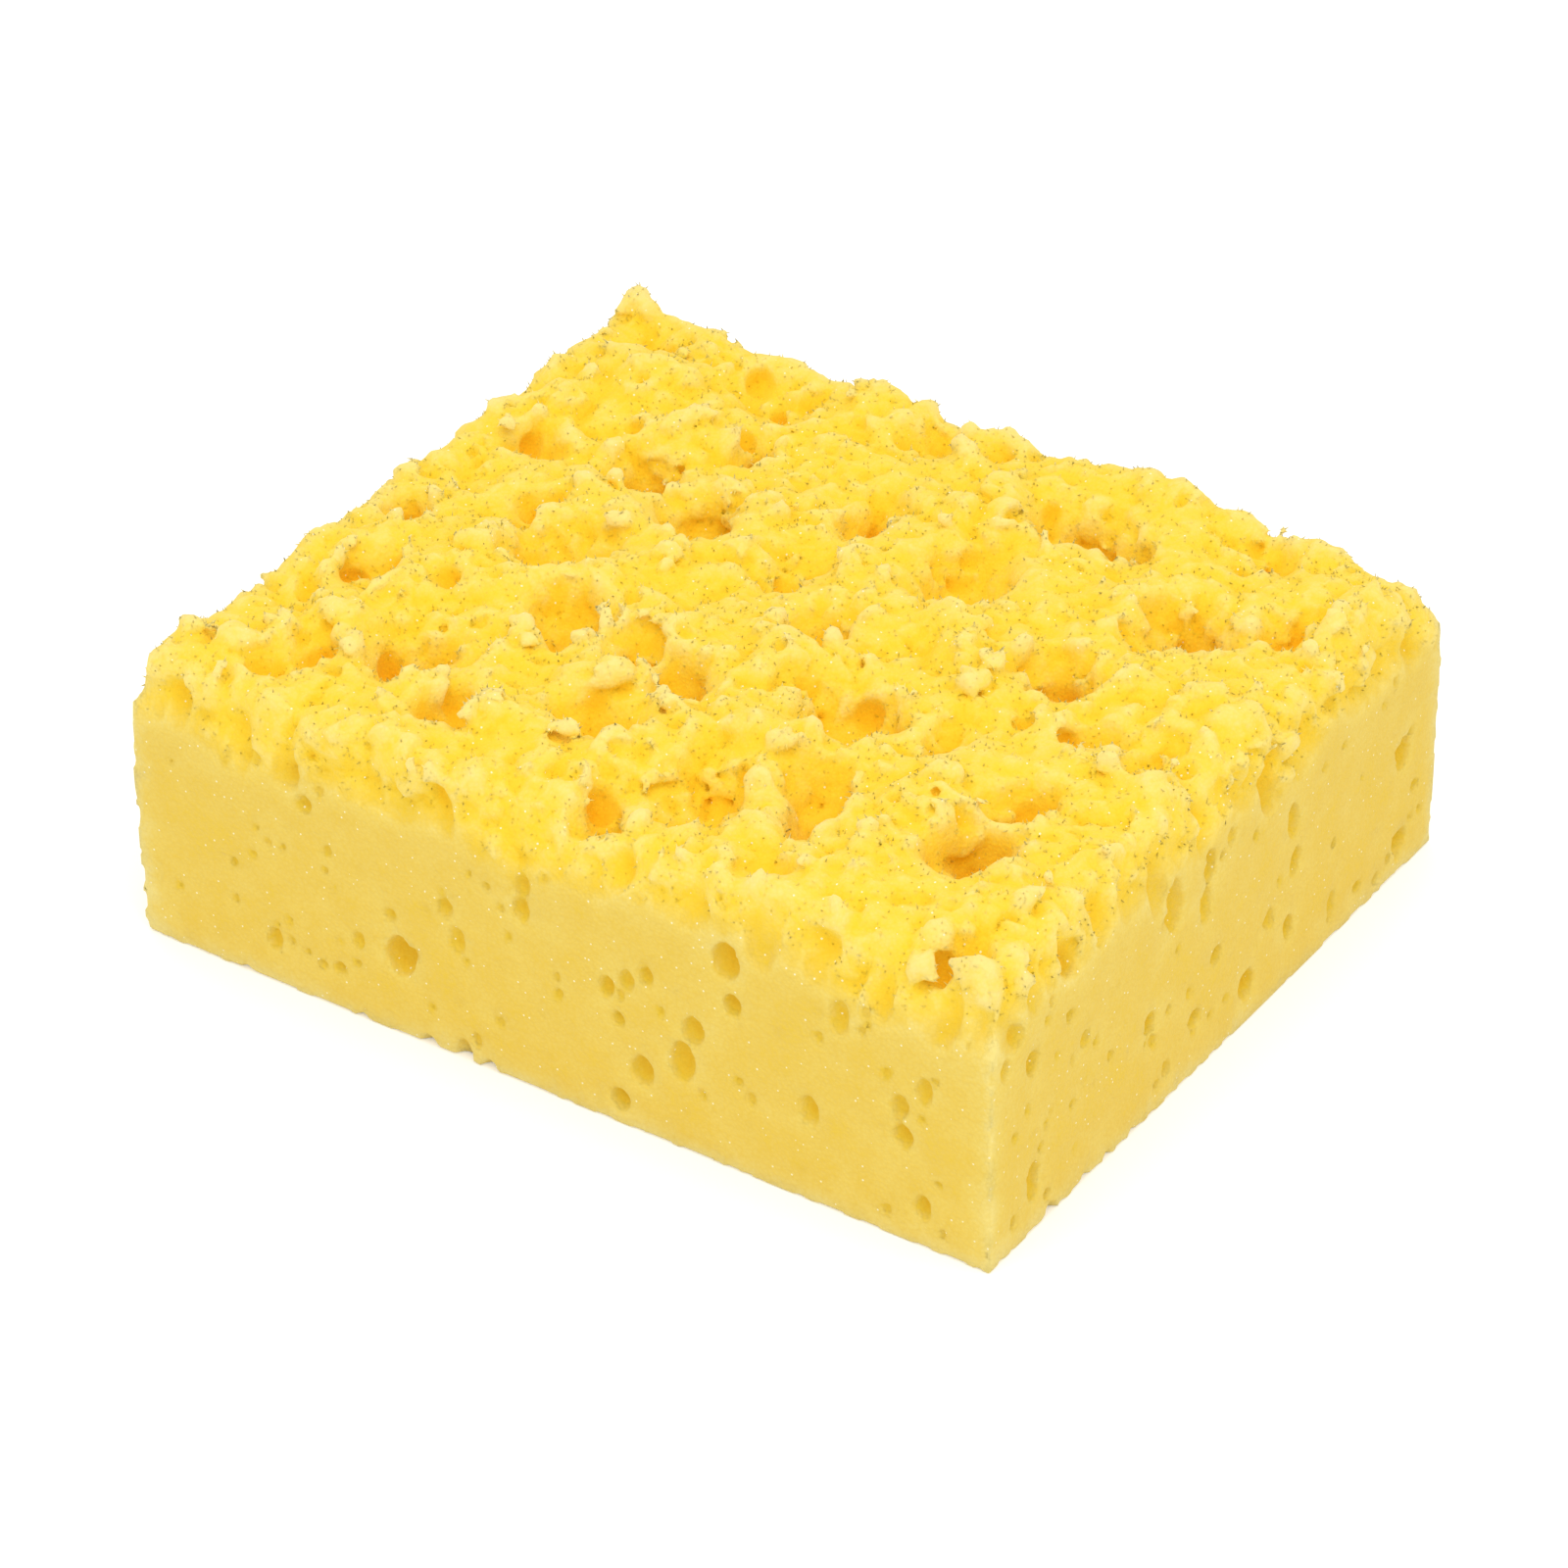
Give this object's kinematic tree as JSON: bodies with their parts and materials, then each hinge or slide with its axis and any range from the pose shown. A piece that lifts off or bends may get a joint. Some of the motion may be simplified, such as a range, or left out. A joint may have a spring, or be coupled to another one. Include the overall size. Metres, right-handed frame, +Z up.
{
  "type": "decorating sponge",
  "caption": "Rectangular block of coarse open-celled foam, knife-cut flat on five faces and torn to a pitted, ragged texture on the top, for stippling and wiping paint.",
  "frame": {"origin": "middle of the flat underside", "axes": "+X along the length, +Y along the width, +Z up through the thickness towards the torn face"},
  "size_m": [0.15, 0.127, 0.05],
  "materials": {
    "sponge_foam": "matt open-celled synthetic foam, bright yellow, with fine cells and scattered larger pores"
  },
  "bodies": {
    "root": {"sponge_block": "sponge_foam"}
  },
  "joints": []
}
